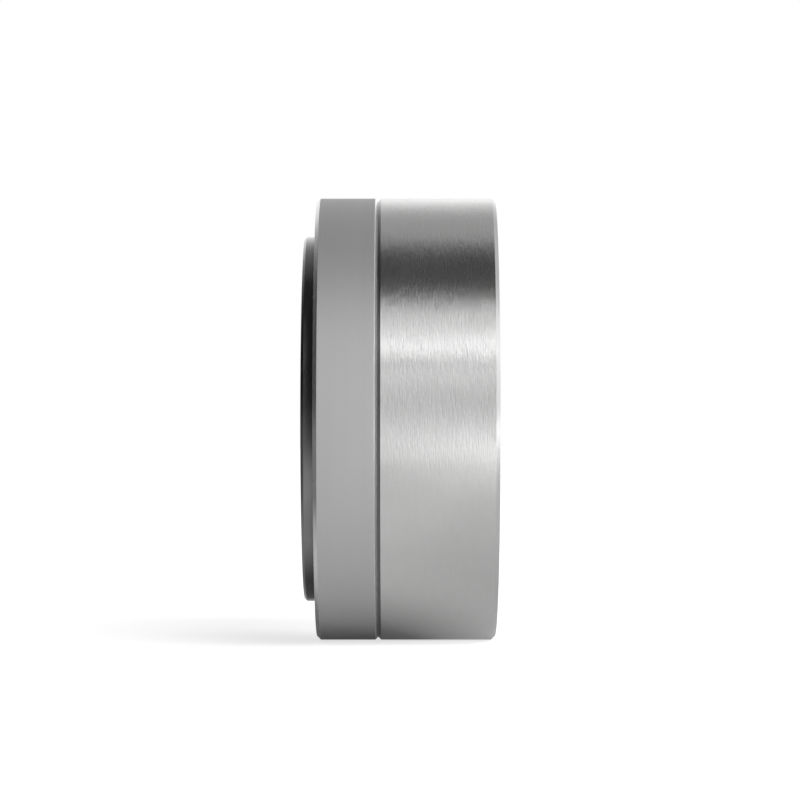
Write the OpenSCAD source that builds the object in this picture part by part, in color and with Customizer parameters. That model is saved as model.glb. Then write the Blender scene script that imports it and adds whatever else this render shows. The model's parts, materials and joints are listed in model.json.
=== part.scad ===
// Strain wave gear unit, cup type, with a crossed roller output bearing.
// The parts are drawn standing up: z = 0 is the output face and z = body_len is the input face.
// in_place() then lays the axis along X, with the origin at the centre of the input face.
// Radial places run inward from the outer wall for the housing and its bearing, and from the
// teeth for the flexspline and the wave generator. Axial places run from the output face.

/* [Housing] */
// Outer diameter of both housing rings
body_d = 107; // [96:0.5:118]
// Width of the bearing's outer ring
bearing_ring_w = 14.8; // [13.5:0.1:16.5]
// Chamfer on the two end faces
end_chamfer = 0.9; // [0.3:0.1:1.2]
// Chamfer on each ring at the seam between them
seam_chamfer = 0.7; // [0.2:0.1:1.2]
// Radial gap between the flexspline's highest tooth and the bore that the cup stands in
cup_gap = 1.695; // [1.2:0.005:2.5]
// Radial step from the roots of the ring's teeth out to the motor's locating recess
motor_pilot_step = 3.065; // [2.5:0.005:4]
// Depth of the motor's locating recess
motor_pilot_depth = 2; // [1.5:0.1:3]
// Radial step from the locating recess in to the relief below it
relief_step = 1; // [0.5:0.1:2]
// Depth of the relief between the locating recess and the teeth
relief_depth = 3.5; // [3:0.1:5]

/* [Housing bolts] */
// Distance from the outer wall to the bolt circle of the mounting holes
mount_edge = 4; // [3.5:0.1:4.5]
// Number of mounting holes
mount_count = 12; // [6:6:12]
// Diameter of the mounting holes
mount_hole_d = 4.5; // [3.4:0.1:5]
// Distance from the outer wall to the bolt circle of the assembly screws
assembly_edge = 4.3; // [3.9:0.1:4.8]
// Number of assembly screws
assembly_count = 6; // [3:1:6]
// Thread diameter of the assembly screws
assembly_thread_d = 3; // [2.5:0.5:3]
// Length of the assembly screws under the head
assembly_screw_len = 30; // [27:0.5:34]
// Depth of the assembly screws' counterbores
assembly_sink = 3.4; // [3.1:0.1:4.5]

/* [Crossed roller bearing] */
// Distance from the outer wall to the pitch circle of the rollers
roller_edge = 11.5; // [10.5:0.1:13]
// Diameter of a roller
roller_d = 5; // [4:0.1:5.6]
// Thickness of a spacer between two rollers
spacer_t = 0.9; // [0.5:0.1:1]
// Least free space along the pitch circle from one roller to the next, beside the spacer
roller_play = 0.35; // [0.2:0.05:0.6]
// Gap between the bearing's rings, on the radius
ring_gap = 0.2; // [0.15:0.05:0.3]
// Distance from the ring's lip behind the seal to the mouth of the roller track
track_edge = 0.96; // [0.5:0.02:1.2]
// Diameter of the plug that closes the roller filling hole
fill_plug_d = 7; // [6:0.25:8]
// Diameter of the pin that locks the filling plug
plug_pin_d = 2; // [1:0.25:2.25]

/* [Output flange] */
// How far the output face stands proud of the bearing's outer ring
output_proud = 3; // [2:0.25:4]
// Chamfer on the output face
output_chamfer = 0.6; // [0.2:0.1:1]
// Diameter of the locating recess in the output face
output_pilot_d = 46; // [40:0.5:54]
// Depth of the locating recess in the output face
output_pilot_depth = 5; // [2:0.25:5.5]
// Distance from the pitch circle of the rollers in to the bolt circle of the output holes
output_hole_inset = 8; // [7:0.1:10]
// Number of output holes
output_count = 12; // [6:1:12]
// Diameter of the output holes before tapping
output_hole_d = 4.2; // [3.3:0.1:5]
// Depth of the output holes
output_hole_depth = 10; // [6:0.5:11.5]
// Distance of the cup's seat from the output face
cup_seat_z = 15.5; // [14:0.1:16.5]
// How far the flange's back stands below the cup's seat
seat_h = 0.5; // [0.3:0.1:1]

/* [Output seal] */
// Distance from the outer wall to the outside of the seal
seal_edge = 7.2; // [6.5:0.1:8]
// Radial width of the seal, from its outside to the output boss
seal_section = 2.15; // [1.9:0.05:2.5]
// Width of the seal's pocket
seal_w = 3.2; // [2.8:0.1:3.6]
// Width of the ring's lip behind the seal
seal_lip_w = 1; // [0.7:0.1:1.3]
// Thickness of the seal's metal case
seal_case_t = 0.5; // [0.4:0.1:0.6]

/* [O-rings] */
// Section of both O-rings as squeezed
o_ring_t = 1.2; // [1:0.1:1.4]
// Width of the O-ring grooves
o_ring_groove_w = 2; // [1.6:0.1:2.2]

/* [Teeth] */
// Tooth module
tooth_module = 0.635; // [0.6:0.005:0.7]
// Teeth on the flexspline, four times a whole number
flex_teeth = 100; // [96:4:104]
// Teeth on the circular spline beyond the flexspline's
extra_teeth = 2; // [2:2:2]
// Length of the circular spline's teeth
tooth_len = 12; // [10.5:0.5:13.5]
// Height of a tooth above its pitch line
addendum = 0.42; // [0.36:0.01:0.46]
// Depth of a tooth space below its pitch line
dedendum = 0.55; // [0.5:0.01:0.62]
// Play between a tooth and its space, along the pitch line
tooth_play = 0.067; // [0.06:0.001:0.12]
// Angle of a tooth's flank above its pitch line
tip_angle = 28.2; // [24:0.2:30]
// Angle of a tooth's flank below its pitch line
root_angle = 16.7; // [12:0.1:18]

/* [Flexspline] */
// Wall of the toothed rim under the teeth
rim_wall = 0.85; // [0.7:0.05:1]
// Wall of the cup
cup_wall = 0.5; // [0.4:0.05:0.6]
// Thickness of the cup's diaphragm
diaphragm_t = 1; // [0.7:0.1:1.2]
// How far the cup's boss reaches past the clamp ring, on the radius
cup_boss_edge = 0.7; // [0.3:0.1:1.5]
// Thickness of the cup's boss
cup_boss_t = 4; // [3:0.25:5]
// Diameter of the hole in the cup's boss
cup_bore_d = 11; // [8:0.5:16]
// How far the rim runs past each end of the circular spline's teeth
rim_past = 0.5; // [0.2:0.1:1]

/* [Flexspline screws] */
// Bolt circle of the flexspline's screws
cup_pcd = 30; // [27:0.5:34]
// Number of flexspline screws
cup_screw_count = 8; // [6:1:8]
// Thread diameter of the flexspline's screws
cup_thread_d = 5; // [4:0.5:5.5]
// Length of the flexspline's screws under the head
cup_screw_len = 13; // [11:0.5:14.5]
// Diameter of the heads of the flexspline's screws
cup_head_d = 8.5; // [7.5:0.1:9.5]
// Height of the heads of the flexspline's screws
cup_head_h = 3.5; // [2.5:0.1:4]
// Thickness of the clamp ring under the heads
clamp_t = 3; // [2.5:0.1:3.5]
// How far the clamp ring reaches past the heads, on the radius
clamp_edge = 0.05; // [0.02:0.01:0.3]
// Bore of the clamp ring
clamp_bore_d = 16; // [12:0.5:19]

/* [Wave generator bearing] */
// Width of the flex bearing
flex_bearing_w = 9.5; // [8.5:0.1:10.5]
// Thickness of each race under its ball groove
race_t = 1.4; // [1.2:0.05:1.6]
// Diameter of a ball
ball_d = 4.762; // [4.2:0.01:5.3]
// Number of balls
ball_count = 23; // [17:1:23]
// Height of each race's shoulder above its groove
shoulder_h = 0.8; // [0.6:0.05:0.9]
// Chamfer on the races' corners
race_chamfer = 0.3; // [0.1:0.05:0.4]
// Radial thickness of the ball separator
separator_t = 2.2; // [1.8:0.1:2.5]
// Thickness of the separator's back behind the balls
separator_back = 1.2; // [0.8:0.1:1.4]
// How far the separator's fingers reach past the balls' centres
separator_reach = 1.6; // [1.2:0.1:1.9]

/* [Wave generator plug and coupling] */
// Bore of the hub for the motor shaft
hub_bore_d = 14; // [10:1:16]
// Wall of the hub's sleeve
hub_wall = 5; // [4.4:0.1:5.5]
// Radial gap between the hub's sleeve and the bore of the plug
hub_gap = 1; // [0.6:0.1:1.5]
// Wall between the ends of the plug's slots and its outside
plug_slot_wall = 2.2; // [1.8:0.1:3]
// How far the plug's slots reach past its pocket
plug_slot_depth = 2.5; // [1.5:0.1:3.5]
// Depth of the plug's pocket
pocket_depth = 5; // [4:0.25:5.75]
// Width of the plug's slots and of the hub's lugs
lug_w = 8; // [6:0.25:9]
// Wall outside the coupling insert's slots
insert_wall = 1.4; // [1:0.1:2]
// Sideways float of the coupling each way
coupling_float = 0.15; // [0.05:0.05:0.15]
// How far the hub's flange covers the insert past its slots
hub_flange_over = 0.7; // [0.3:0.1:1.2]
// Thickness of the hub's flange
hub_flange_t = 1; // [0.8:0.1:1.2]
// Gap between the hub's end and the floor of the locating recess
hub_end_gap = 0.3; // [0.2:0.1:1]
// Length of the hub past the plug towards the output
hub_nose = 3; // [2.6:0.05:3.6]
// Gap between the heads of the flexspline's screws and the hub
screw_gap = 0.75; // [0.5:0.05:2]
// Thickness of the rub washer
washer_t = 1; // [0.8:0.1:1.2]
// How far the rub washer reaches past the plug's bore, on the radius
washer_edge = 3; // [2:0.1:4]
// Thickness of the snap ring
snap_ring_t = 1; // [0.8:0.1:1.2]
// Width of the snap ring's band
snap_ring_w = 2.4; // [2:0.1:2.7]
// Depth of the snap ring's groove
snap_groove_depth = 0.8; // [0.6:0.1:1]
// Opening of the snap ring, as an angle each way
snap_opening_angle = 14; // [10:1:18]
// Radius of the snap ring's ears
snap_ear_r = 1.7; // [1.3:0.1:2]
// Thread diameter of the hub's set screws
set_screw_d = 3; // [2.5:0.5:3]
// How much shorter a set screw is than the hub's wall
set_screw_short = 0.5; // [0.3:0.05:1]

/* [Edges and fits] */
// Small edge breaks on the turned parts
edge = 0.4; // [0.2:0.05:0.6]
// Chamfer at the mouths of the bolt holes in the two faces
hole_chamfer = 0.4; // [0.1:0.05:0.45]
// Clearance on the radius where parts are pressed or slipped together
snug = 0.02; // [0.01:0.01:0.03]
// Clearance where parts run on each other
running = 0.03; // [0.02:0.01:0.05]
// Clearance between turning parts that must not touch
air = 0.3; // [0.25:0.05:0.35]
// Clearance on the radius of a screw in its through hole
screw_play = 0.25; // [0.1:0.05:0.4]
// Extra depth of a blind hole past its screw
hole_past = 1.5; // [0.5:0.1:2]

/* [Hidden] */
$fn = 96;

cut = 1;                       // how far a cutting shape runs past the face it opens
wall_sides = 96;               // flat strips round the cup's wall

// Oval: four arcs that meet smoothly, with the same length round as the circle.
// Their centres lie sqrt(2) times the change of radius from the axis. As 5741 to 8119 is
// 1 to sqrt(2) in whole numbers, both come from one small unit, and the arcs meet exactly.
arc_ratio = [5741, 8119];
wave_rise = tooth_module * extra_teeth / 2;
arc_unit = round(wave_rise / (sqrt(2) - 1) / arc_ratio[0] * 1e5) / 1e5;
arc_change = arc_ratio[0] * arc_unit;
arc_centre = arc_ratio[1] * arc_unit;

// Teeth
flex_pitch_r = tooth_module * flex_teeth / 2;
spline_teeth = flex_teeth + extra_teeth;
spline_pitch_r = tooth_module * spline_teeth / 2;
tooth_mid_t = tooth_module * PI / 2 - tooth_play;
tooth_tip_t = tooth_mid_t - 2 * addendum * tan(tip_angle);
tooth_root_t = tooth_mid_t + 2 * dedendum * tan(root_angle);
rim_root_r = flex_pitch_r - dedendum;
rim_bore_r = rim_root_r - rim_wall;
rim_neutral_r = rim_root_r - rim_wall / 2;

// Housing, on the radius
body_r = body_d / 2;
mount_r = body_r - mount_edge;
mount_inner_r = mount_r - mount_hole_d / 2;
assembly_r = body_r - assembly_edge;
assembly_head_d = assembly_thread_d + 2.5;
assembly_sink_r = assembly_head_d / 2 + screw_play;
spline_bore_r = flex_pitch_r + addendum + wave_rise + cup_gap;
spline_blank_r = spline_pitch_r - 2 * addendum;
motor_pilot_r = spline_pitch_r + dedendum + motor_pilot_step;
relief_r = motor_pilot_r - relief_step;
input_o_ring_r = (motor_pilot_r + assembly_r - assembly_sink_r) / 2;

// Crossed rollers: each stands at 45 degrees in a square track
roller_pitch_r = body_r - roller_edge;
track_half = roller_d / 2;
track_reach = track_half * sqrt(2);
outer_land_r = roller_pitch_r + ring_gap;
inner_land_r = roller_pitch_r - ring_gap;
track_mouth = track_reach - ring_gap;
roller_len = roller_d - 5 * running;
roller_count = 2 * floor(PI * roller_pitch_r / (roller_d + spacer_t + roller_play));
roller_pitch_turn = 360 / roller_count;
spacer_r = roller_d / 2 - air;
joint_o_ring_r = (outer_land_r + mount_inner_r) / 2;

// Output side and seal, on the radius
seal_r = body_r - seal_edge;
output_r = seal_r - seal_section;
output_hole_r = roller_pitch_r - output_hole_inset;
output_pilot_r = output_pilot_d / 2;
lip_land_r = output_r + air;
case_bore_r = lip_land_r + air;
clamp_r = (cup_pcd + cup_head_d) / 2 + clamp_edge;
cup_boss_r = clamp_r + cup_boss_edge;

// Stations along the axis, output side
ring_z = output_proud;
seal_floor_z = ring_z + seal_w;
lip_z = seal_floor_z + seal_lip_w;
shoulder_z = lip_z - air;
roller_z = lip_z + track_edge + track_mouth;
seam_z = ring_z + bearing_ring_w;
flange_back_z = cup_seat_z - seat_h;
flange_rear_z = seam_z - 1;
seal_gap = 0.1;
case_back_z = seal_floor_z - seal_gap - seal_case_t;

// Stations along the axis, from the cup's seat to the input face
clamp_z = cup_seat_z + cup_boss_t;
cup_head_z = clamp_z + clamp_t;
cup_hole_z = cup_head_z - cup_screw_len - hole_past;
hub_z0 = cup_head_z + cup_head_h + screw_gap;
bearing_z0 = hub_z0 + hub_nose;
bearing_z = bearing_z0 + flex_bearing_w / 2;
bearing_z1 = bearing_z0 + flex_bearing_w;
tooth_z0 = bearing_z - tooth_len / 2;
tooth_z1 = bearing_z + tooth_len / 2;
relief_z = tooth_z1 + relief_depth;
body_len = relief_z + motor_pilot_depth;
rim_z0 = tooth_z0 - rim_past;
rim_z1 = tooth_z1 + rim_past;

// Housing screws and filling plug
assembly_seat_z = body_len - assembly_sink;
assembly_tip_z = assembly_seat_z - assembly_screw_len;
assembly_turn = 180 / mount_count;
fill_turn = 90 + assembly_turn;
plug_pin_r = (roller_pitch_r + track_reach + body_r) / 2;
plug_pin_z1 = roller_z + fill_plug_d / 2 - 0.5;

// Cup: its wall stands a little outside the rim's bore and its corner laps both sides of it
wall_in_r = rim_bore_r + 0.07;
wall_out_r = wall_in_r + cup_wall;
corner_lap = 0.17;
corner_in_r = wall_in_r - corner_lap;
corner_out_r = wall_out_r + corner_lap;
diaphragm_z = cup_seat_z + air;
diaphragm_z1 = diaphragm_z + diaphragm_t;
corner_round = 0.8;
corner_top_z = diaphragm_z1 + 1.5 * corner_round;
boss_round = 1.5;

// Flex bearing, from the rim's bore inward
outer_race_r = rim_bore_r - running;
groove_r = ball_d / 2 + running;
ball_path_r = outer_race_r - race_t - groove_r;
inner_race_bore_r = ball_path_r - groove_r - race_t;
inner_shoulder_r = ball_path_r - groove_r + shoulder_h;
outer_shoulder_r = ball_path_r + groove_r - shoulder_h;

// Coupling
hub_r = hub_bore_d / 2 + hub_wall;
plug_r = inner_race_bore_r - snug;
plug_bore_r = hub_r + hub_gap;
plug_slot_reach = plug_r - plug_slot_wall;
pocket_r = plug_slot_reach - plug_slot_depth;
pocket_z = bearing_z1 - pocket_depth;
insert_z0 = pocket_z + 0.1;
insert_z1 = bearing_z1 - edge;
insert_r = pocket_r - 2 * coupling_float;
insert_bore_r = hub_r + coupling_float + air;
insert_slot_reach = insert_r - insert_wall;
hub_flange_r = insert_slot_reach + hub_flange_over;
hub_flange_z0 = insert_z1 + 2 * running;
hub_flange_z1 = hub_flange_z0 + hub_flange_t;
hub_z1 = relief_z - hub_end_gap;
hub_lug_reach = insert_slot_reach - 2 * coupling_float;
washer_r = plug_bore_r + washer_edge;
washer_z1 = bearing_z0 - running;
washer_z0 = washer_z1 - washer_t;
snap_ring_z0 = washer_z0 - snug - snap_ring_t;
snap_ring_z1 = snap_ring_z0 + snap_ring_t;
snap_groove_r = hub_r - snap_groove_depth;
set_screw_len = hub_wall - set_screw_short;
set_screw_z = (hub_flange_z1 + hub_z1) / 2;
set_screw_turns = [45, 135];

// ---- helpers ----

// Lays the standing parts along X, input face at X = 0
module in_place() {
    rotate([0, 90, 0]) translate([0, 0, -body_len]) children();
}

// A straight hole or rod from z0 to z1
module rod(r, z0, z1) {
    translate([0, 0, z0]) cylinder(r = r, h = z1 - z0);
}

// Chamfered mouth of a hole that starts at a face and runs on along Z; inward is 1 up, -1 down
module mouth(r, face_z, inward) {
    translate([0, 0, face_z]) mirror([0, 0, inward < 0 ? 1 : 0]) translate([0, 0, -cut])
        cylinder(h = hole_chamfer + 2 * cut, r1 = r + hole_chamfer + cut, r2 = r - cut);
}

// Copies round the axis on a bolt circle
module around(count, circle_r, turn = 0) {
    for (i = [0 : count - 1])
        rotate(turn + i * 360 / count) translate([circle_r, 0, 0]) children();
}

// A socket head cap screw: head seat at z = 0, shank below it
module cap_screw(thread_r, len, head_r, head_h, key_w) {
    edge_break = head_h / 10;
    point = thread_r / 5;
    key_floor = head_h * 0.45;
    difference() {
        union() {
            rotate_extrude() polygon([
                [0, 0], [head_r, 0], [head_r, head_h - edge_break], [head_r - edge_break, head_h],
                [0, head_h]
            ]);
            rotate_extrude() polygon([
                [0, -len], [thread_r - point, -len], [thread_r, point - len],
                [thread_r, cut / 2], [0, cut / 2]
            ]);
        }
        translate([0, 0, key_floor]) cylinder(d = key_w / cos(30), h = head_h, $fn = 6);
    }
}

// Point and outward direction on an oval of mean radius r, at a share of its length in degrees
function oval_at(r, share) =
    let (
        end_share = 90 * (1 - arc_change / r),
        side_share = 90 * (1 + arc_change / r),
        from_end = ((share + end_share / 2) % 360 + 360) % 360,
        half = floor(from_end / 180),
        along = from_end - 180 * half,
        on_end = along < end_share,
        turn = on_end ? 90 * along / end_share - 45 : 90 * (along - end_share) / side_share + 45,
        arc_r = on_end ? r - arc_change : r + arc_change,
        x = (on_end ? arc_centre : 0) + arc_r * cos(turn),
        y = (on_end ? 0 : -arc_centre) + arc_r * sin(turn),
        sign = half == 0 ? 1 : -1
    )
    [sign * x, sign * y, turn + 180 * half];

// Turns a section [mean radius, z] round the four-arc oval, long way along X
module oval_turned() {
    for (quarter = [0 : 3]) {
        side = quarter % 2 == 0 ? 1 : -1;
        rotate(90 * quarter) translate([side * arc_centre, 0, 0])
            rotate_extrude(angle = 90, start = -45) translate([-side * arc_change, 0]) children();
    }
}

// An oval ring with square corners
module oval_ring(r0, r1, z0, z1) {
    oval_turned() polygon([[r0, z0], [r1, z0], [r1, z1], [r0, z1]]);
}

// One tooth's corners about a point on the pitch line; up is +1 for a tooth that points outward
function tooth_points(centre, turn, up) = [
    for (p = [
        [-up * dedendum, -tooth_root_t / 2], [0, -tooth_mid_t / 2], [up * addendum, -tooth_tip_t / 2],
        [up * addendum, tooth_tip_t / 2], [0, tooth_mid_t / 2], [-up * dedendum, tooth_root_t / 2]
    ])
    [centre[0] + p[0] * cos(turn) - p[1] * sin(turn), centre[1] + p[0] * sin(turn) + p[1] * cos(turn)]
];

// Outline of the flexspline's toothed rim, bent to the oval
module flex_outline() {
    above = flex_pitch_r - rim_neutral_r;
    polygon([
        for (i = [0 : flex_teeth - 1])
            let (
                seat = oval_at(rim_neutral_r, i * 360 / flex_teeth),
                centre = [seat[0] + above * cos(seat[2]), seat[1] + above * sin(seat[2])]
            )
            each tooth_points(centre, seat[2], 1)
    ]);
}

// Outline of the opening inside the circular spline's teeth
module spline_outline() {
    polygon([
        for (i = [0 : spline_teeth - 1])
            let (turn = (i + 0.5) * 360 / spline_teeth)
            each tooth_points([spline_pitch_r * cos(turn), spline_pitch_r * sin(turn)], turn, -1)
    ]);
}

// ---- housing ----

module spline_ring_profile() {
    polygon([
        [spline_bore_r, seam_z], [body_r - seam_chamfer, seam_z],
        [body_r, seam_z + seam_chamfer], [body_r, body_len - end_chamfer],
        [body_r - end_chamfer, body_len], [motor_pilot_r + edge, body_len],
        [motor_pilot_r, body_len - edge], [motor_pilot_r, relief_z], [relief_r, relief_z],
        [relief_r, tooth_z1], [spline_blank_r, tooth_z1], [spline_blank_r, tooth_z0],
        [spline_bore_r, tooth_z0]
    ]);
}

module circular_spline() {
    color("silver") in_place() difference() {
        rotate_extrude() spline_ring_profile();
        translate([0, 0, tooth_z0 - cut]) linear_extrude(tooth_len + 2 * cut) spline_outline();
        around(mount_count, mount_r) {
            rod(mount_hole_d / 2, seam_z - cut, body_len + cut);
            mouth(mount_hole_d / 2, body_len, -1);
        }
        around(assembly_count, assembly_r, assembly_turn) {
            rod(assembly_thread_d / 2 + screw_play, seam_z - cut, body_len);
            rod(assembly_sink_r, assembly_seat_z, body_len + cut);
        }
        o_ring_groove(joint_o_ring_r, seam_z - cut, seam_z + o_ring_t);
        o_ring_groove(input_o_ring_r, body_len - o_ring_t, body_len + cut);
    }
}

module o_ring_groove(r, z0, z1) {
    rotate_extrude() translate([r - o_ring_groove_w / 2, z0]) square([o_ring_groove_w, z1 - z0]);
}

module bearing_ring_profile() {
    polygon([
        [seal_r + snug, ring_z], [body_r - end_chamfer, ring_z],
        [body_r, ring_z + end_chamfer], [body_r, seam_z - seam_chamfer],
        [body_r - seam_chamfer, seam_z], [outer_land_r, seam_z],
        [outer_land_r, roller_z + track_mouth], [roller_pitch_r + track_reach, roller_z],
        [outer_land_r, roller_z - track_mouth], [outer_land_r, lip_z],
        [lip_land_r, lip_z], [lip_land_r, seal_floor_z], [seal_r + snug, seal_floor_z]
    ]);
}

// Place of the filling plug, its axis pointing outward from the rollers
module at_fill_hole() {
    rotate(fill_turn) translate([0, 0, roller_z]) rotate([0, 90, 0]) children();
}

module bearing_outer_ring() {
    color("darkgray") in_place() difference() {
        rotate_extrude() bearing_ring_profile();
        around(mount_count, mount_r) {
            rod(mount_hole_d / 2, ring_z - cut, seam_z + cut);
            mouth(mount_hole_d / 2, ring_z, 1);
        }
        around(assembly_count, assembly_r, assembly_turn)
            rod(assembly_thread_d / 2, assembly_tip_z - hole_past / 3, seam_z + cut);
        at_fill_hole() rod(fill_plug_d / 2, roller_pitch_r, body_r + cut);
        rotate(fill_turn) translate([plug_pin_r, 0, 0]) rod(plug_pin_d / 2, ring_z - cut, plug_pin_z1);
    }
}

module assembly_screws() {
    color("dimgray") in_place() around(assembly_count, assembly_r, assembly_turn)
        translate([0, 0, assembly_seat_z])
        cap_screw(assembly_thread_d / 2 - snug, assembly_screw_len, assembly_head_d / 2,
                  assembly_thread_d, assembly_thread_d - 0.5);
}

module o_ring(r, z) {
    rotate_extrude() translate([r, z]) circle(r = o_ring_t / 2 - snug / 2, $fn = 24);
}

module joint_o_ring() {
    color("black") in_place() o_ring(joint_o_ring_r, seam_z + o_ring_t / 2);
}

module input_o_ring() {
    color("black") in_place() o_ring(input_o_ring_r, body_len - o_ring_t / 2);
}

module roller_fill_plug() {
    color("gray") in_place() difference() {
        intersection() {
            at_fill_hole() rod(fill_plug_d / 2 - snug, roller_pitch_r, body_r + cut);
            rotate_extrude() polygon([
                [outer_land_r, roller_z - track_mouth], [roller_pitch_r + track_reach, roller_z],
                [outer_land_r, roller_z + track_mouth], [outer_land_r, seam_z],
                [body_r, seam_z], [body_r, ring_z], [outer_land_r, ring_z]
            ]);
        }
        rotate(fill_turn) translate([plug_pin_r, 0, 0])
            rod(plug_pin_d / 2, ring_z - cut, plug_pin_z1);
    }
}

module plug_taper_pin() {
    color("dimgray") in_place() rotate(fill_turn) translate([plug_pin_r, 0, 0])
        rod(plug_pin_d / 2 - snug, ring_z + 2 * seal_gap, plug_pin_z1 - seal_gap);
}

// ---- output seal ----

module output_seal_case() {
    color("gray") in_place() rotate_extrude() polygon([
        [seal_r, ring_z + seal_gap], [seal_r, seal_floor_z - seal_gap],
        [case_bore_r, seal_floor_z - seal_gap], [case_bore_r, case_back_z],
        [seal_r - seal_case_t, case_back_z], [seal_r - seal_case_t, ring_z + seal_gap]
    ]);
}

// The lip leans on the output boss and is drawn just clear of it
module output_seal_lip() {
    rubber_r = case_bore_r + seal_gap / 2;
    lip_root_z = case_back_z - seal_w / 3;
    color("saddlebrown") in_place() rotate_extrude() polygon([
        [seal_r - seal_case_t, case_back_z], [seal_r - seal_case_t, ring_z + 4 * seal_gap],
        [rubber_r + seal_case_t, ring_z + 4 * seal_gap], [output_r + air / 2, ring_z + 2 * seal_gap],
        [output_r + air / 3, ring_z + 6 * seal_gap], [rubber_r, lip_root_z], [rubber_r, case_back_z]
    ]);
}

// ---- output ----

module output_flange_profile() {
    polygon([
        [0, output_pilot_depth], [output_pilot_r, output_pilot_depth],
        [output_pilot_r, output_chamfer], [output_pilot_r + output_chamfer, 0],
        [output_r - output_chamfer, 0], [output_r, output_chamfer], [output_r, shoulder_z],
        [inner_land_r, shoulder_z], [inner_land_r, roller_z - track_mouth],
        [roller_pitch_r - track_reach, roller_z], [inner_land_r, roller_z + track_mouth],
        [inner_land_r, flange_rear_z], [spline_bore_r, flange_rear_z],
        [spline_bore_r, flange_back_z], [cup_boss_r + seat_h, flange_back_z],
        [cup_boss_r + seat_h, cup_seat_z], [0, cup_seat_z]
    ]);
}

module output_flange() {
    color("dimgray") in_place() difference() {
        rotate_extrude() output_flange_profile();
        around(output_count, output_hole_r) {
            rod(output_hole_d / 2, -cut, output_hole_depth);
            mouth(output_hole_d / 2, 0, 1);
        }
        around(cup_screw_count, cup_pcd / 2) rod(cup_thread_d / 2, cup_hole_z, cup_seat_z + cut);
    }
}

module cup_base_profile() {
    inner_round = corner_round - 0.2;
    polygon([
        [cup_bore_d / 2, cup_seat_z], [cup_boss_r, cup_seat_z],
        [cup_boss_r, diaphragm_z], [corner_out_r - corner_round, diaphragm_z],
        [corner_out_r, diaphragm_z + corner_round], [corner_out_r, corner_top_z],
        [corner_in_r, corner_top_z], [corner_in_r, diaphragm_z1 + inner_round],
        [corner_in_r - inner_round, diaphragm_z1], [cup_boss_r + boss_round, diaphragm_z1],
        [cup_boss_r, diaphragm_z1 + boss_round], [cup_boss_r, clamp_z], [cup_bore_d / 2, clamp_z]
    ]);
}

// The cup's wall runs from a circle at the diaphragm to the oval at the rim
function wall_ring(r, z, bend) = [
    for (i = [0 : wall_sides - 1])
        let (share = i * 360 / wall_sides, oval = oval_at(r, share))
        [
            (1 - bend) * r * cos(share) + bend * oval[0],
            (1 - bend) * r * sin(share) + bend * oval[1],
            z
        ]
];

module cup_wall_loft() {
    z0 = corner_top_z - corner_round;
    z1 = rim_z0 + 2 * rim_past;
    n = wall_sides;
    polyhedron(
        points = concat(
            wall_ring(wall_out_r, z0, 0), wall_ring(wall_out_r, z1, 1),
            wall_ring(wall_in_r, z0, 0), wall_ring(wall_in_r, z1, 1)
        ),
        faces = [
            for (i = [0 : n - 1])
                let (j = (i + 1) % n)
                each [
                    [i, n + i, n + j], [i, n + j, j],
                    [2 * n + i, 2 * n + j, 3 * n + j], [2 * n + i, 3 * n + j, 3 * n + i],
                    [i, j, 2 * n + j], [i, 2 * n + j, 2 * n + i],
                    [n + i, 3 * n + i, 3 * n + j], [n + i, 3 * n + j, n + j]
                ]
        ]
    );
}

module toothed_rim() {
    difference() {
        translate([0, 0, rim_z0]) linear_extrude(rim_z1 - rim_z0) flex_outline();
        oval_ring(rim_bore_r / 2, rim_bore_r, rim_z0 - cut, rim_z1 + cut);
        rod(rim_bore_r * 0.7, rim_z0 - cut, rim_z1 + cut);
    }
}

module flexspline() {
    color("lightsteelblue") in_place() difference() {
        union() {
            rotate_extrude() cup_base_profile();
            cup_wall_loft();
            toothed_rim();
        }
        around(cup_screw_count, cup_pcd / 2)
            rod(cup_thread_d / 2 + screw_play, cup_seat_z - cut, clamp_z + cut);
    }
}

module flexspline_clamp_ring() {
    bore_r = clamp_bore_d / 2;
    color("gray") in_place() difference() {
        rotate_extrude() polygon([
            [bore_r, clamp_z], [clamp_r, clamp_z],
            [clamp_r, cup_head_z - edge], [clamp_r - edge, cup_head_z],
            [bore_r + edge, cup_head_z], [bore_r, cup_head_z - edge]
        ]);
        around(cup_screw_count, cup_pcd / 2)
            rod(cup_thread_d / 2 + screw_play, clamp_z - cut, cup_head_z + cut);
    }
}

module flexspline_screws() {
    color("dimgray") in_place() around(cup_screw_count, cup_pcd / 2)
        translate([0, 0, cup_head_z])
        cap_screw(cup_thread_d / 2 - snug, cup_screw_len, cup_head_d / 2, cup_head_h,
                  cup_thread_d - 2);
}

// ---- crossed rollers ----

module bearing_rollers() {
    color("white") in_place() for (i = [0 : roller_count - 1])
        rotate(i * roller_pitch_turn) translate([roller_pitch_r, 0, roller_z])
        rotate([0, i % 2 == 0 ? 45 : -45, 0])
        cylinder(r = roller_d / 2 - snug, h = roller_len, center = true);
}

module roller_spacers() {
    color("ivory") in_place() for (i = [0 : roller_count - 1])
        rotate((i + 0.5) * roller_pitch_turn) translate([roller_pitch_r, 0, roller_z])
        rotate([90, 0, 0]) cylinder(r = spacer_r, h = spacer_t, center = true);
}

// ---- wave generator ----

module wave_generator_plug() {
    core_r = plug_bore_r / 2;
    color("slategray") in_place() difference() {
        oval_turned() polygon([
            [core_r, bearing_z0], [plug_r - edge, bearing_z0], [plug_r, bearing_z0 + edge],
            [plug_r, bearing_z1 - edge], [plug_r - edge, bearing_z1], [core_r, bearing_z1]
        ]);
        rod(plug_bore_r, bearing_z0 - cut, bearing_z1 + cut);
        rod(pocket_r, pocket_z, bearing_z1 + cut);
        translate([-plug_slot_reach, -lug_w / 2, pocket_z])
            cube([2 * plug_slot_reach, lug_w, pocket_depth + cut]);
    }
}

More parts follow.
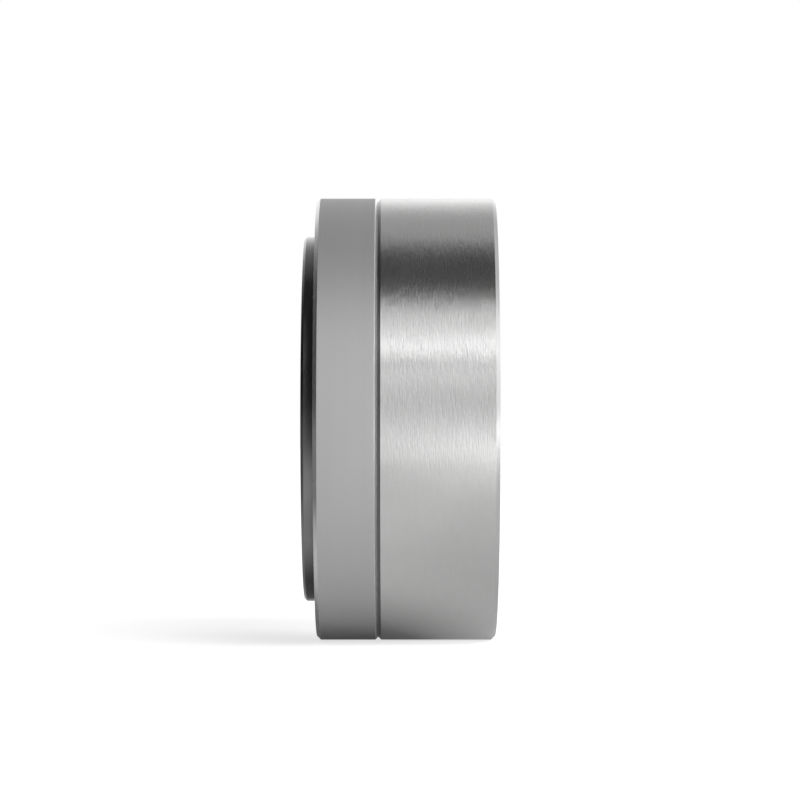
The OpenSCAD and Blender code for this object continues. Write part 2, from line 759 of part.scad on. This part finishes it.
module race_profile(r0, r1) {
    polygon([
        [r0, bearing_z0 + race_chamfer], [r0 + race_chamfer, bearing_z0],
        [r1 - race_chamfer, bearing_z0], [r1, bearing_z0 + race_chamfer],
        [r1, bearing_z1 - race_chamfer], [r1 - race_chamfer, bearing_z1],
        [r0 + race_chamfer, bearing_z1], [r0, bearing_z1 - race_chamfer]
    ]);
}

module race(r0, r1) {
    in_place() oval_turned() difference() {
        race_profile(r0, r1);
        translate([ball_path_r, bearing_z]) circle(r = groove_r, $fn = 48);
    }
}

module flex_bearing_inner_race() {
    color("gainsboro") race(inner_race_bore_r, inner_shoulder_r);
}

module flex_bearing_outer_race() {
    color("gainsboro") race(outer_shoulder_r, outer_race_r);
}

// Puts its children at each ball's place on the oval path
module at_balls() {
    for (i = [0 : ball_count - 1]) {
        seat = oval_at(ball_path_r, i * 360 / ball_count);
        translate([seat[0], seat[1], bearing_z]) children();
    }
}

module flex_bearing_balls() {
    color("white") in_place() at_balls() sphere(d = ball_d, $fn = 32);
}

// Crown cage, open towards the input side
module ball_separator() {
    back_z = bearing_z - ball_d / 2 - separator_back;
    color("ivory") in_place() difference() {
        oval_ring(ball_path_r - separator_t / 2, ball_path_r + separator_t / 2,
                  back_z, bearing_z + separator_reach);
        at_balls() sphere(r = ball_d / 2 + 2 * running, $fn = 32);
    }
}

// ---- coupling ----

module coupling_insert() {
    lug_reach = plug_slot_reach - 2 * coupling_float;
    height = insert_z1 - insert_z0;
    slot_w = lug_w + 2 * snug;
    color("goldenrod") in_place() difference() {
        intersection() {
            union() {
                rod(insert_r, insert_z0, insert_z1);
                translate([-lug_reach, -lug_w / 2 + snug, insert_z0])
                    cube([2 * lug_reach, lug_w - 2 * snug, height]);
            }
            rod(lug_reach, insert_z0 - cut, insert_z1 + cut);
        }
        rod(insert_bore_r, insert_z0 - cut, insert_z1 + cut);
        translate([-slot_w / 2, -insert_slot_reach, insert_z0 - cut])
            cube([slot_w, 2 * insert_slot_reach, height + 2 * cut]);
    }
}

module coupling_hub() {
    bore_r = hub_bore_d / 2;
    color("dimgray") in_place() difference() {
        union() {
            rotate_extrude() polygon([
                [bore_r, hub_z0], [hub_r - edge, hub_z0], [hub_r, hub_z0 + edge],
                [hub_r, hub_flange_z0], [hub_flange_r, hub_flange_z0],
                [hub_flange_r, hub_flange_z1], [hub_r, hub_flange_z1],
                [hub_r, hub_z1 - edge], [hub_r - edge, hub_z1],
                [bore_r + edge, hub_z1], [bore_r, hub_z1 - edge]
            ]);
            hub_lugs();
        }
        difference() {
            rod(hub_r + cut, snap_ring_z0 - snug, washer_z0 - snug / 2);
            rod(snap_groove_r, snap_ring_z0 - cut, washer_z0 + cut);
        }
        for (turn = set_screw_turns)
            rotate(turn) translate([0, 0, set_screw_z]) rotate([0, 90, 0])
            rod(set_screw_d / 2, 0, hub_r + cut);
    }
}

// Two lugs that slide in the coupling insert's slots
module hub_lugs() {
    difference() {
        intersection() {
            translate([-lug_w / 2, -hub_lug_reach, insert_z0 + 0.1])
                cube([lug_w, 2 * hub_lug_reach, hub_flange_z0 - insert_z0]);
            rod(hub_lug_reach, insert_z0, hub_flange_z1);
        }
        rod(hub_r - cut, insert_z0 - cut, hub_flange_z1 + cut);
    }
}

module rub_washer() {
    color("dimgray") in_place() difference() {
        rod(washer_r, washer_z0, washer_z1);
        rod(hub_r + snug, washer_z0 - cut, washer_z1 + cut);
    }
}

// External snap ring with an opening and two eared ends
module snap_ring() {
    band_in_r = snap_groove_r + snug;
    band_out_r = band_in_r + snap_ring_w;
    ear_turn = snap_opening_angle + 6;
    ear_place = band_out_r - snap_ear_r / 4;
    color("dimgray") in_place() difference() {
        union() {
            difference() {
                rod(band_out_r, snap_ring_z0, snap_ring_z1);
                rotate(-snap_opening_angle) translate([0, 0, snap_ring_z0 - cut])
                    rotate_extrude(angle = 2 * snap_opening_angle)
                    square([2 * band_out_r, snap_ring_t + 2 * cut]);
            }
            for (side = [-1, 1])
                rotate(side * ear_turn) translate([ear_place, 0, 0])
                rod(snap_ear_r, snap_ring_z0, snap_ring_z1);
        }
        rod(band_in_r, snap_ring_z0 - cut, snap_ring_z1 + cut);
        for (side = [-1, 1])
            rotate(side * ear_turn) translate([ear_place, 0, 0])
            rod(snap_ear_r / 2, snap_ring_z0 - cut, snap_ring_z1 + cut);
    }
}

module hub_set_screws() {
    outer_r = hub_r - air;
    color("black") in_place() for (turn = set_screw_turns)
        rotate(turn) translate([0, 0, set_screw_z]) rotate([0, 90, 0]) difference() {
            rod(set_screw_d / 2 - snug, outer_r - set_screw_len, outer_r);
            translate([0, 0, outer_r - set_screw_len / 2])
                cylinder(d = set_screw_d / 2 / cos(30), h = set_screw_len, $fn = 6);
        }
}

circular_spline();
bearing_outer_ring();
assembly_screws();
joint_o_ring();
input_o_ring();
roller_fill_plug();
plug_taper_pin();
output_seal_case();
output_seal_lip();
output_flange();
flexspline();
flexspline_clamp_ring();
flexspline_screws();
bearing_rollers();
roller_spacers();
wave_generator_plug();
flex_bearing_inner_race();
flex_bearing_balls();
ball_separator();
flex_bearing_outer_race();
coupling_insert();
coupling_hub();
rub_washer();
snap_ring();
hub_set_screws();
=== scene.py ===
"""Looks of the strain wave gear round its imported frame: camera, studio, finishes and the cup that bends."""
import json
import math

import bmesh
import bpy
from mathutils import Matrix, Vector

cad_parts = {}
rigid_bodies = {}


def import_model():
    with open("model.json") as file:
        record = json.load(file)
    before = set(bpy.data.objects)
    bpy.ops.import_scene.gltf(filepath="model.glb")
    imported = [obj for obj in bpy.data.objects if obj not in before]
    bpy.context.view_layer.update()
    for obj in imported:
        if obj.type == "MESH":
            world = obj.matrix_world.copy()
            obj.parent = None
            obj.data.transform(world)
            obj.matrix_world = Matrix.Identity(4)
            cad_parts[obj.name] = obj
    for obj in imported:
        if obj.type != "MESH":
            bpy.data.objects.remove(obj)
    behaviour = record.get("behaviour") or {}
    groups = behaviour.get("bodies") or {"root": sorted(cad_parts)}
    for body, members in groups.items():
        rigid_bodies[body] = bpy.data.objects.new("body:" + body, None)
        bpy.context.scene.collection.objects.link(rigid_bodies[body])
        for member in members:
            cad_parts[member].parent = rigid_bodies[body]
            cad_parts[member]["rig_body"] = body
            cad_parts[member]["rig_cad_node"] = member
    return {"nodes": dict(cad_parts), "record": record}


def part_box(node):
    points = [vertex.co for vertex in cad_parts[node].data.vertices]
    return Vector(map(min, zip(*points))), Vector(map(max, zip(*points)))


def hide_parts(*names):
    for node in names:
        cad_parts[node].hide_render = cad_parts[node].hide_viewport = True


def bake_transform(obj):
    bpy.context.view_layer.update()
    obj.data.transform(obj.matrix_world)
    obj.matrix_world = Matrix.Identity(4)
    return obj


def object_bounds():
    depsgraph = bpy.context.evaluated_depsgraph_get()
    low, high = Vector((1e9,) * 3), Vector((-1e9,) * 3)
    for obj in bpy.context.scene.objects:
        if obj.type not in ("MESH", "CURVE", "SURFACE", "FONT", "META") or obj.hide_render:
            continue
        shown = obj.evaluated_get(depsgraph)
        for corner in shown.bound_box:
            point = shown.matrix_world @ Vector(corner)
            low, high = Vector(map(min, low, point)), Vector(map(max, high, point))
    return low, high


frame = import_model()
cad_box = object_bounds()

SCENE = bpy.context.scene
NODES = frame["nodes"]
MM = 0.001

# ---- camera: lens and sensor in millimetres, distances in metres ----

SENSOR_WIDTH = 36.0
LENS = 159.2
LENS_SHIFT = 0.0239
CAMERA_AWAY = 0.86
CAMERA_ASIDE = 0.03 * MM
CLIP_NEAR = 0.01
CLIP_FAR = 20.0

# ---- the studio that the metal sees ----

# (degrees round the object's axis, level): 0 is the camera's side, 90 overhead and 180 behind
RIGHT_LEVELS = [
    (0, 3.05), (8, 2.6), (20, 3.1), (24, 4.0), (27.5, 3.9), (30, 1.7), (33.8, 1.3), (35, 7.6), (40, 6.0),
    (45, 4.5), (50, 3.7), (62, 3.3), (68, 1.0), (73, 0.17), (101, 0.03), (106, 0.35), (112, 1.35),
    (135, 0.65), (180, 0.9)]
LEFT_LEVELS = [
    (0, 0.14), (20, 0.04), (60, 0.04), (80, 0.05), (95, 0.05), (112, 0.25), (135, 0.5), (160, 1.2)]
# each edge is a pair of values of the direction's X, between which one level runs over into the next
SIDE_EDGE = (0.1, 0.36)
FAR_LEFT_EDGE = (-0.8, -0.4)
FAR_LEFT_SHARE = 0.08
FAR_RIGHT_EDGE = (0.58, 0.84)
FAR_RIGHT_LEVEL = 1.2

# ---- the floor: places along the axis are counted from the output's face ----

FLOOR_HALF = 6.0
FLOOR_GAP = 0.02 * MM
FLOOR_GREY = 0.75
# in metal the floor's grey is a darker copy, painted shade under the painted glow levels
FLOOR_GREY_IN_METAL = 0.15
FLOOR_GLOW = 0.68
# on the right, in metal: painted light levels of the floor's glow (metres in front of the axis or behind it,
# level)
PAINTED_FLOOR_LEVELS = [
    (0.0, 0.66), (0.05, 0.66), (0.08, 0.75), (0.1, 1.0), (0.125, 1.4), (0.15, 1.6), (0.165, 2.3),
    (0.25, 2.6), (0.5, 2.1)]
# on the left, in metal: a painted pool of light on the floor's glow that fades outward, narrower along the
# axis than across it
POOL_INSET = 1 * MM
POOL_SQUEEZE = 2.5
PAINTED_POOL_LEVELS = (0.98, 0.1)
POOL_REACH = (0.05, 0.22)
# where the left runs over into the right, and how far that edge leans to the right per metre from the axis
LEFT_EDGE = (-0.044, 0.076)
LEFT_LEAN = 0.12
# painted shadow: the floor's glow in metal is dimmer near the object: (distance from an oval's middle in
# halves of the oval, share of the level)
OVAL_INSET = 7 * MM
OVAL_HALF = (38 * MM, 31 * MM)
PAINTED_SHADOW_SHARES = [
    (0.0, 0.13), (0.4, 0.13), (0.55, 0.17), (0.73, 0.36), (0.9, 0.52), (1.06, 0.66), (1.25, 0.75),
    (1.6, 0.8), (2.05, 0.92), (2.6, 1.0)]

# ---- the marks and edges of the finishes ----

# noise mostly stays between these two
NOISE_LOW = 0.3
NOISE_HIGH = 0.7
# turning marks: fine ones, and broad ones that are so many times wider across and longer round the axis
FINE_SHARE = 0.6
BROAD_SHARE = 0.4
BROAD_ACROSS = 7
BROAD_AROUND = 2
# how fast the marks follow each other outward on an end face, against along the axis
OUTWARD_PACE = 0.7
BLOTCH_SCALE = 60.0
# a grained surface has patches that are so many times wider than its grain
PATCH_WIDTH = 12
QUARTER_TURN = 0.25
# a face counts as a chamfer by how far its normal's X is from that of 45 degrees
CHAMFER_EDGE = (0.1, 0.25)
# chamfers towards +X face the key light and get the lighter painted grey, those towards -X the darker one
KEY_LIGHT_SIDE_EDGE = (-0.5, 0.5)
EDGE_SAMPLES = 4
TURNED_EDGE = 0.12 * MM
GRAINED_EDGE = 0.08 * MM

# ---- the flexspline's bend ----

# along the cup, from its closed end
BEND_FROM = 3 * MM
BEND_TO = 9 * MM
BEND_STEPS = 24
WELD_DISTANCE = 1e-7
SHARP_ANGLE = math.radians(28)


# ---- nodes ----

def math_node(tree, operation, a, b=None):
    """What one math node gives; a and b are sockets or numbers."""
    node = tree.nodes.new("ShaderNodeMath")
    node.operation = operation
    for socket, value in zip(node.inputs, (a, b)):
        if value is None:
            continue
        if isinstance(value, (int, float)):
            socket.default_value = value
        else:
            tree.links.new(value, socket)
    return node.outputs[0]


def distance(tree, a, b):
    """The root of the sum of two squares."""
    squares = [math_node(tree, "MULTIPLY", side, side) for side in (a, b)]
    return math_node(tree, "SQRT", math_node(tree, "ADD", *squares))


def coordinates(tree, kind):
    """X, Y and Z of one kind of texture coordinate."""
    source = tree.nodes.new("ShaderNodeTexCoord")
    split = tree.nodes.new("ShaderNodeSeparateXYZ")
    tree.links.new(source.outputs[kind], split.inputs[0])
    return [split.outputs[key] for key in "XYZ"]


def ramp(tree, value, stops):
    """Grey levels at places from 0 to 1, straight between them."""
    node = tree.nodes.new("ShaderNodeValToRGB")
    elements = node.color_ramp.elements
    while len(elements) < len(stops):
        elements.new(0.5)
    for element, (place, level) in zip(elements, stops):
        element.position = place
        element.color = (level, level, level, 1)
    tree.links.new(value, node.inputs[0])
    return node.outputs[0]


def scaled_ramp(tree, value, stops):
    """Levels at places that run from 0 to any greatest value."""
    reach = stops[-1][0]
    share = math_node(tree, "DIVIDE", value, reach)
    return ramp(tree, share, [(place / reach, level) for place, level in stops])


def between(tree, value, low, high, from_low=NOISE_LOW, from_high=NOISE_HIGH):
    """low up to from_low, high past from_high, and a straight run from one to the other."""
    node = tree.nodes.new("ShaderNodeMapRange")
    tree.links.new(value, node.inputs["Value"])
    for key, level in (("From Min", from_low), ("From Max", from_high), ("To Min", low), ("To Max", high)):
        node.inputs[key].default_value = level
    return node.outputs["Result"]


def mixed(tree, factor, a, b):
    """a where factor is 0, b where it is 1; each is a socket or a number."""
    node = tree.nodes.new("ShaderNodeMix")
    tree.links.new(factor, node.inputs["Factor"])
    for key, value in (("A", a), ("B", b)):
        if isinstance(value, (int, float)):
            node.inputs[key].default_value = value
        else:
            tree.links.new(value, node.inputs[key])
    return node.outputs["Result"]


def mixed_colour(tree, factor, colour, grey):
    """The colour where factor is 0, the grey where it is 1."""
    node = tree.nodes.new("ShaderNodeMix")
    node.data_type = "RGBA"
    for key, value in (("Factor", factor), ("A", colour), ("B", grey)):
        tree.links.new(value, node.inputs[key])
    return node.outputs["Result"]


def shaded_colour(tree, colour, value, spread):
    """The colour, darker and lighter by a share as value goes from 0 to 1."""
    node = tree.nodes.new("ShaderNodeMix")
    node.data_type = "RGBA"
    tree.links.new(value, node.inputs["Factor"])
    node.inputs["A"].default_value = (*[c * (1 - spread) for c in colour], 1)
    node.inputs["B"].default_value = (*[min(1, c * (1 + spread)) for c in colour], 1)
    return node.outputs["Result"]


def seen_directly(tree):
    """1 for rays from the camera and through glass, 0 for all others."""
    path = tree.nodes.new("ShaderNodeLightPath")
    return math_node(tree, "MAXIMUM", path.outputs["Is Camera Ray"], path.outputs["Is Transmission Ray"])


# ---- making the camera, the studio and the floor ----

def add_camera(low, high):
    """A long lens exactly side-on, shifted so that the object stands a little below the picture's middle."""
    data = bpy.data.cameras.new("camera")
    data.sensor_width = SENSOR_WIDTH
    data.lens = LENS
    data.shift_y = LENS_SHIFT
    data.clip_start = CLIP_NEAR
    data.clip_end = CLIP_FAR
    camera = bpy.data.objects.new("camera", data)
    camera.location = ((low.x + high.x) / 2 + CAMERA_ASIDE, -CAMERA_AWAY, (low.z + high.z) / 2)
    camera.rotation_euler = (math.radians(90), 0, 0)
    SCENE.collection.objects.link(camera)
    SCENE.camera = camera


def angle_ramp(tree, turn, stops):
    """Levels round the object's axis, for a turn that is 1 at 180 degrees."""
    return ramp(tree, turn, [(degrees / 180, level) for degrees, level in stops])


def set_world():
    """A studio with its key light to the front right, a dark strip overhead and a dark side to the left."""
    world = bpy.data.worlds.new("studio")
    world.use_nodes = True
    SCENE.world = world
    tree = world.node_tree
    background = tree.nodes["Background"]
    x, y, z = coordinates(tree, "Generated")
    to_camera = math_node(tree, "MULTIPLY", y, -1.0)
    height = math_node(tree, "ABSOLUTE", z)
    turn = math_node(tree, "DIVIDE", math_node(tree, "ARCTAN2", height, to_camera), math.pi)
    right = angle_ramp(tree, turn, RIGHT_LEVELS)
    left = angle_ramp(tree, turn, LEFT_LEVELS)
    side = between(tree, x, 0.0, 1.0, *SIDE_EDGE)
    far_left = between(tree, x, FAR_LEFT_SHARE, 1.0, *FAR_LEFT_EDGE)
    far_right = between(tree, x, 0.0, 1.0, *FAR_RIGHT_EDGE)
    round_about = math_node(tree, "MULTIPLY", mixed(tree, side, left, right), far_left)
    studio = mixed(tree, far_right, round_about, FAR_RIGHT_LEVEL)
    # camera and glass rays see plain white; all others see the studio
    direct = seen_directly(tree)
    shaded = math_node(tree, "MULTIPLY", studio, math_node(tree, "SUBTRACT", 1.0, direct))
    tree.links.new(math_node(tree, "ADD", shaded, direct), background.inputs["Strength"])
    background.inputs["Color"].default_value = (1, 1, 1, 1)


def painted_floor_in_metal(tree, output_face):
    """Painted light and shade on the floor's glow, seen only in metal: a painted shadow near the object, a
    painted pool of light on its left that dims far off, and painted levels on its right.
    """
    x, y, _ = coordinates(tree, "Object")
    from_face = math_node(tree, "SUBTRACT", x, output_face)
    from_axis = math_node(tree, "ABSOLUTE", y)
    along = math_node(tree, "DIVIDE", math_node(tree, "SUBTRACT", from_face, OVAL_INSET), OVAL_HALF[0])
    across = math_node(tree, "DIVIDE", y, OVAL_HALF[1])
    # painted shadow: the glow that metal sees is dimmed around the object
    near = scaled_ramp(tree, distance(tree, along, across), PAINTED_SHADOW_SHARES)
    # painted pool of light: the left's glow in metal, bright close by and dark far off
    sideways = math_node(tree, "MULTIPLY", math_node(tree, "SUBTRACT", from_face, POOL_INSET), POOL_SQUEEZE)
    pool = between(tree, distance(tree, sideways, y), *PAINTED_POOL_LEVELS, *POOL_REACH)
    leaning = math_node(tree, "SUBTRACT", from_face, math_node(tree, "MULTIPLY", from_axis, LEFT_LEAN))
    right = between(tree, leaning, 0.0, 1.0, *LEFT_EDGE)
    level = mixed(tree, right, pool, scaled_ramp(tree, from_axis, PAINTED_FLOOR_LEVELS))
    return math_node(tree, "MULTIPLY", near, level)


def floor_material(output_face):
    """A grey that takes the object's shadow, and a glow that makes it white where nothing shades it; in metal
    the grey is a darker, shaded copy and the glow is painted light and shade.
    """
    material = bpy.data.materials.new("pale_floor")
    material.use_nodes = True
    tree = material.node_tree
    tree.nodes.clear()
    out = tree.nodes.new("ShaderNodeOutputMaterial")
    diffuse = tree.nodes.new("ShaderNodeBsdfDiffuse")
    glow = tree.nodes.new("ShaderNodeEmission")
    glow.inputs["Color"].default_value = (1, 1, 1, 1)
    both = tree.nodes.new("ShaderNodeAddShader")
    metal = tree.nodes.new("ShaderNodeLightPath").outputs["Is Glossy Ray"]
    grey = between(tree, metal, FLOOR_GREY, FLOOR_GREY_IN_METAL, 0.0, 1.0)
    tree.links.new(grey, diffuse.inputs["Color"])
    # the glow that metal sees is painted light and shade on the floor
    painted_glow_in_metal = math_node(tree, "MULTIPLY", metal, painted_floor_in_metal(tree, output_face))
    plain = math_node(tree, "MULTIPLY", seen_directly(tree), FLOOR_GLOW)
    tree.links.new(math_node(tree, "MAXIMUM", plain, painted_glow_in_metal), glow.inputs["Strength"])
    tree.links.new(diffuse.outputs[0], both.inputs[0])
    tree.links.new(glow.outputs[0], both.inputs[1])
    tree.links.new(both.outputs[0], out.inputs["Surface"])
    return material


def add_floor(low):
    """A wide flat square just under the object, whose box's lowest corner is low."""
    mesh = bpy.data.meshes.new("floor")
    half = FLOOR_HALF
    z = low.z - FLOOR_GAP
    corners = [(-half, -half, z), (half, -half, z), (half, half, z), (-half, half, z)]
    mesh.from_pydata(corners, [], [(0, 1, 2, 3)])
    floor = bpy.data.objects.new("floor", mesh)
    SCENE.collection.objects.link(floor)
    mesh.materials.append(floor_material(low.x))


# ---- materials ----

def new_material(name):
    material = bpy.data.materials.new(name)
    material.use_nodes = True
    tree = material.node_tree
    return material, tree, tree.nodes["Principled BSDF"]


def turned_coords(tree, across, around):
    """Noise coordinates that run fast along the axis and outward, and slowly round it."""
    x, y, z = coordinates(tree, "Object")
    outward = math_node(tree, "MULTIPLY", distance(tree, y, z), OUTWARD_PACE)
    lead = math_node(tree, "ADD", x, outward)
    join = tree.nodes.new("ShaderNodeCombineXYZ")
    for key, value, scale in (("X", lead, across), ("Y", y, around), ("Z", z, around)):
        tree.links.new(math_node(tree, "MULTIPLY", value, scale), join.inputs[key])
    return join.outputs[0]


def plain_coords(tree):
    return tree.nodes.new("ShaderNodeTexCoord").outputs["Object"]


def noise(tree, coords, scale, detail, roughness):
    node = tree.nodes.new("ShaderNodeTexNoise")
    node.inputs["Scale"].default_value = scale
    node.inputs["Detail"].default_value = detail
    node.inputs["Roughness"].default_value = roughness
    tree.links.new(coords, node.inputs["Vector"])
    return node.outputs["Fac"]


def soft_edges(tree, radius):
    """The normal, rounded over along edges."""
    node = tree.nodes.new("ShaderNodeBevel")
    node.samples = EDGE_SAMPLES
    node.inputs["Radius"].default_value = radius
    return node.outputs["Normal"]


def bump(tree, height, depth, before):
    """The normal before, roughened by a height from 0 to 1 that stands for depth metres."""
    node = tree.nodes.new("ShaderNodeBump")
    node.inputs["Distance"].default_value = depth
    node.inputs["Strength"].default_value = 1.0
    tree.links.new(height, node.inputs["Height"])
    tree.links.new(before, node.inputs["Normal"])
    return node.outputs["Normal"]


def vector_math(tree, operation, *vectors):
    node = tree.nodes.new("ShaderNodeVectorMath")
    node.operation = operation
    for socket, vector in zip(node.inputs, vectors):
        tree.links.new(vector, socket)
    return node


def tilted_round(tree, before, amount, value):
    """The normal, tilted round the X axis by up to amount radians, one way or the other as value says."""
    _, y, z = coordinates(tree, "Normal")
    join = tree.nodes.new("ShaderNodeCombineXYZ")
    tree.links.new(math_node(tree, "MULTIPLY", z, -1.0), join.inputs["Y"])
    tree.links.new(y, join.inputs["Z"])
    to_world = tree.nodes.new("ShaderNodeVectorTransform")
    to_world.vector_type = "VECTOR"
    to_world.convert_from = "OBJECT"
    to_world.convert_to = "WORLD"
    tree.links.new(join.outputs[0], to_world.inputs[0])
    lean = vector_math(tree, "SCALE", to_world.outputs[0])
    tree.links.new(between(tree, value, -amount, amount), lean.inputs["Scale"])
    leaning = vector_math(tree, "ADD", before, lean.outputs[0])
    return vector_math(tree, "NORMALIZE", leaning.outputs[0]).outputs[0]


def chamfer_mask(tree):
    """1 on the 45 degree chamfers and 0 elsewhere; and 0 on faces towards -X, 1 on those towards +X, which
    picks the chamfers' painted light: darker away from the key light, lighter towards it.
    """
    x, _, _ = coordinates(tree, "Normal")
    off = math_node(tree, "SUBTRACT", math_node(tree, "ABSOLUTE", x), math.sqrt(0.5))
    mask = between(tree, math_node(tree, "ABSOLUTE", off), 1.0, 0.0, *CHAMFER_EDGE)
    return mask, between(tree, x, 0.0, 1.0, *KEY_LIGHT_SIDE_EDGE)


def turned_metal(name, colour, rough, spread, depth, across=2600.0, around=9.0, rough_swing=0.06,
                 anisotropic=0.0, waver=0.0, chamfer_light_and_shade_greys=None, chamfer_rough=None, metallic=1.0):
    """Metal with fine marks round the axis, as left by turning, grinding or brushing."""
    material, tree, shader = new_material(name)
    fine_coords = turned_coords(tree, across, around)
    broad_coords = turned_coords(tree, across / BROAD_ACROSS, around / BROAD_AROUND)
    fine = noise(tree, fine_coords, scale=1.0, detail=5.0, roughness=0.65)
    broad = noise(tree, broad_coords, scale=1.0, detail=3.0, roughness=0.5)
    blotches = noise(tree, plain_coords(tree), scale=BLOTCH_SCALE, detail=3.0, roughness=0.5)
    tone = math_node(tree, "ADD", math_node(tree, "MULTIPLY", fine, FINE_SHARE),
                     math_node(tree, "MULTIPLY", broad, BROAD_SHARE))
    tint = shaded_colour(tree, colour, between(tree, tone, 0, 1), spread)
    wide = between(tree, blotches, rough - rough_swing, rough + rough_swing)
    thin = between(tree, tone, -rough_swing / 2, rough_swing / 2)
    roughness = math_node(tree, "ADD", wide, thin)
    if chamfer_light_and_shade_greys is not None:
        mask, toward_key_light = chamfer_mask(tree)
        roughness = mixed(tree, mask, roughness, chamfer_rough)
        # the chamfers' colour is painted light and shade, set by which way they turn to the key light
        tint = mixed_colour(tree, mask, tint, between(tree, toward_key_light, *chamfer_light_and_shade_greys, 0.0, 1.0))
    tree.links.new(tint, shader.inputs["Base Color"])
    tree.links.new(roughness, shader.inputs["Roughness"])
    shader.inputs["Metallic"].default_value = metallic
    if anisotropic:
        shader.inputs["Anisotropic"].default_value = anisotropic
        shader.inputs["Anisotropic Rotation"].default_value = QUARTER_TURN
        tangent = tree.nodes.new("ShaderNodeTangent")
        tangent.direction_type = "RADIAL"
        tangent.axis = "X"
        tree.links.new(tangent.outputs[0], shader.inputs["Tangent"])
    normal = bump(tree, tone, depth, soft_edges(tree, TURNED_EDGE))
    if waver:
        drift = noise(tree, fine_coords, scale=1.0, detail=3.0, roughness=0.6)
        normal = tilted_round(tree, normal, waver, drift)
    tree.links.new(normal, shader.inputs["Normal"])
    return material


def grained(name, colour, rough, spread, depth, scale, rough_swing=0.08, metallic=0.0):
    """A surface with an even fine grain, for rubber, polymer, oxide and polished steel."""
    material, tree, shader = new_material(name)
    grain = noise(tree, plain_coords(tree), scale=scale, detail=4.0, roughness=0.6)
    patches = noise(tree, plain_coords(tree), scale=scale / PATCH_WIDTH, detail=3.0, roughness=0.5)
    tint = shaded_colour(tree, colour, between(tree, patches, 0, 1), spread)
    tree.links.new(tint, shader.inputs["Base Color"])
    roughness = between(tree, patches, rough - rough_swing, rough + rough_swing)
    tree.links.new(roughness, shader.inputs["Roughness"])
    shader.inputs["Metallic"].default_value = metallic
    normal = bump(tree, grain, depth, soft_edges(tree, GRAINED_EDGE))
    tree.links.new(normal, shader.inputs["Normal"])
    return material


# colour varies by spread, a share, and rough by rough_swing; depth is the marks' depth; across and around
# say how closely they lie along the axis and round it; waver is how far brushing tilts the surface, in
# radians; the chamfers' two greys are painted light and shade: the darker for those towards the output (-X),
# away from the key light, the lighter for those towards the input (+X), which face it
TURNED_FINISHES = {
    "brushed_ring_steel": dict(
        colour=(0.64, 0.638, 0.635), rough=0.33, spread=0.04, depth=0.095 * MM, across=3200.0, around=400.0,
        anisotropic=1.0, rough_swing=0.02, waver=0.018, chamfer_light_and_shade_greys=(0.15, 0.6), chamfer_rough=0.3),
    "satin_ring_steel": dict(
        colour=(0.56, 0.56, 0.56), rough=0.60, spread=0.02, depth=0.001 * MM, rough_swing=0.02,
        chamfer_light_and_shade_greys=(0.7, 0.95), chamfer_rough=0.22, metallic=0.78),
    "dark_turned_steel": dict(
        colour=(0.25, 0.25, 0.25), rough=0.30, spread=0.12, depth=0.004 * MM, across=1800.0, around=30.0,
        anisotropic=0.8),
    "flexspline_steel": dict(colour=(0.52, 0.54, 0.57), rough=0.28, spread=0.06, depth=0.002 * MM),
    "plug_steel": dict(colour=(0.40, 0.40, 0.41), rough=0.30, spread=0.06, depth=0.003 * MM),
    "coupling_steel": dict(colour=(0.30, 0.29, 0.28), rough=0.38, spread=0.06, depth=0.002 * MM),
    "bright_steel": dict(colour=(0.62, 0.62, 0.63), rough=0.22, spread=0.05, depth=0.002 * MM),
}
GRAINED_FINISHES = {
    "polished_steel": dict(
        colour=(0.74, 0.74, 0.76), rough=0.10, spread=0.03, depth=0.0003 * MM, scale=4000.0,
        rough_swing=0.03, metallic=1.0),
    "black_oxide": dict(
        colour=(0.05, 0.05, 0.055), rough=0.38, spread=0.2, depth=0.002 * MM, scale=3000.0, metallic=0.6),
    "rubber": dict(colour=(0.035, 0.033, 0.032), rough=0.62, spread=0.15, depth=0.003 * MM, scale=5000.0),
    "nylon": dict(colour=(0.80, 0.75, 0.62), rough=0.45, spread=0.05, depth=0.002 * MM, scale=4000.0),
}


def make_materials():
    materials = {name: turned_metal(name, **finish) for name, finish in TURNED_FINISHES.items()}
    materials.update({name: grained(name, **finish) for name, finish in GRAINED_FINISHES.items()})
    return materials


def dress_nodes(materials):
    for part in frame["record"]["subparts"]:
        node = NODES[part["node"]]
        for slot in node.material_slots:
            slot.material = materials[part["material_slot"]]


# ---- the flexspline, which bends ----

def add_bending_flexspline():
    """The cup with rings of points cut along its wall, for its oval rim to bend on; it is not bent here."""
    source = NODES["flexspline"]
    piece = source.copy()
    piece.data = source.data.copy()
    piece.name = "flexspline_bending"
    piece.parent = None
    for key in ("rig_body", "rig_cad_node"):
        if key in piece:
            del piece[key]
    SCENE.collection.objects.link(piece)
    low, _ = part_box("flexspline")
    wall_start = low.x + BEND_FROM
    wall_end = low.x + BEND_TO
    mesh = bmesh.new()
    mesh.from_mesh(piece.data)
    bmesh.ops.remove_doubles(mesh, verts=mesh.verts, dist=WELD_DISTANCE)
    for i in range(BEND_STEPS + 1):
        place = wall_start + (wall_end - wall_start) * i / BEND_STEPS
        everything = mesh.verts[:] + mesh.edges[:] + mesh.faces[:]
        bmesh.ops.bisect_plane(mesh, geom=everything, plane_co=(place, 0, 0), plane_no=(1, 0, 0))
    mesh.to_mesh(piece.data)
    mesh.free()
    if "custom_normal" in piece.data.attributes:
        piece.data.attributes.remove(piece.data.attributes["custom_normal"])
    piece.data.shade_smooth()
    piece.data.set_sharp_from_angle(angle=SHARP_ANGLE)
    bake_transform(piece)
    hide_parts("flexspline")


SCENE.view_settings.view_transform = "Standard"
lowest, highest = cad_box
add_camera(lowest, highest)
set_world()
add_floor(lowest)
dress_nodes(make_materials())
add_bending_flexspline()
